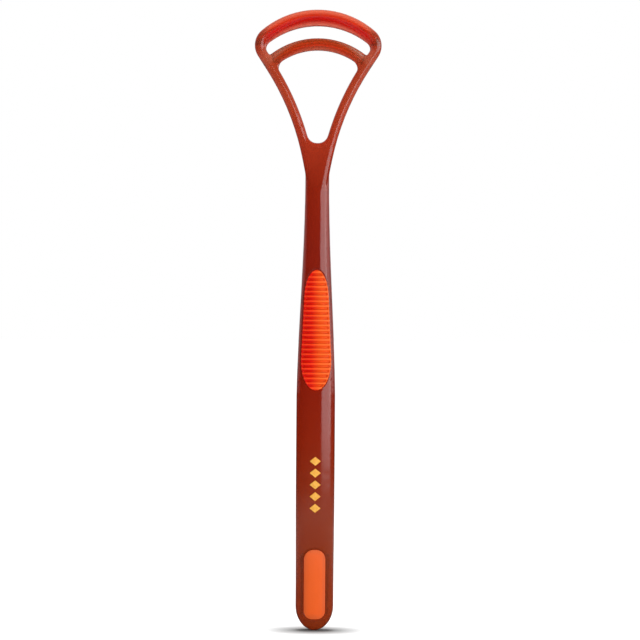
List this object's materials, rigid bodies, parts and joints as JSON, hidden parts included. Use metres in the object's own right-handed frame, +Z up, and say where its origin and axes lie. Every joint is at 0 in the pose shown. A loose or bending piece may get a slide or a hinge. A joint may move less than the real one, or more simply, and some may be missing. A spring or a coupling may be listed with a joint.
{
  "type": "tongue scraper",
  "caption": "Slim hand-held tongue scraper: a fan-shaped looped head with two scraping arcs on a long handle with soft inset grips.",
  "frame": {"origin": "foot of the tail, on the handle's centre line, midway between the grip's crown and the rest plane", "axes": "+Z up the handle to the head, +X to the right, +Y away from the user, towards the tongue"},
  "size_m": [0.0368, 0.007, 0.18],
  "materials": {
    "tinted_plastic": "polished tinted translucent plastic, orange-red at the head, darker red at the neck",
    "soft_grip": "satin soft elastomer"
  },
  "bodies": {
    "root": {"body": "tinted_plastic", "thumb_grip": "soft_grip", "tail_grip": "soft_grip"}
  },
  "joints": []
}
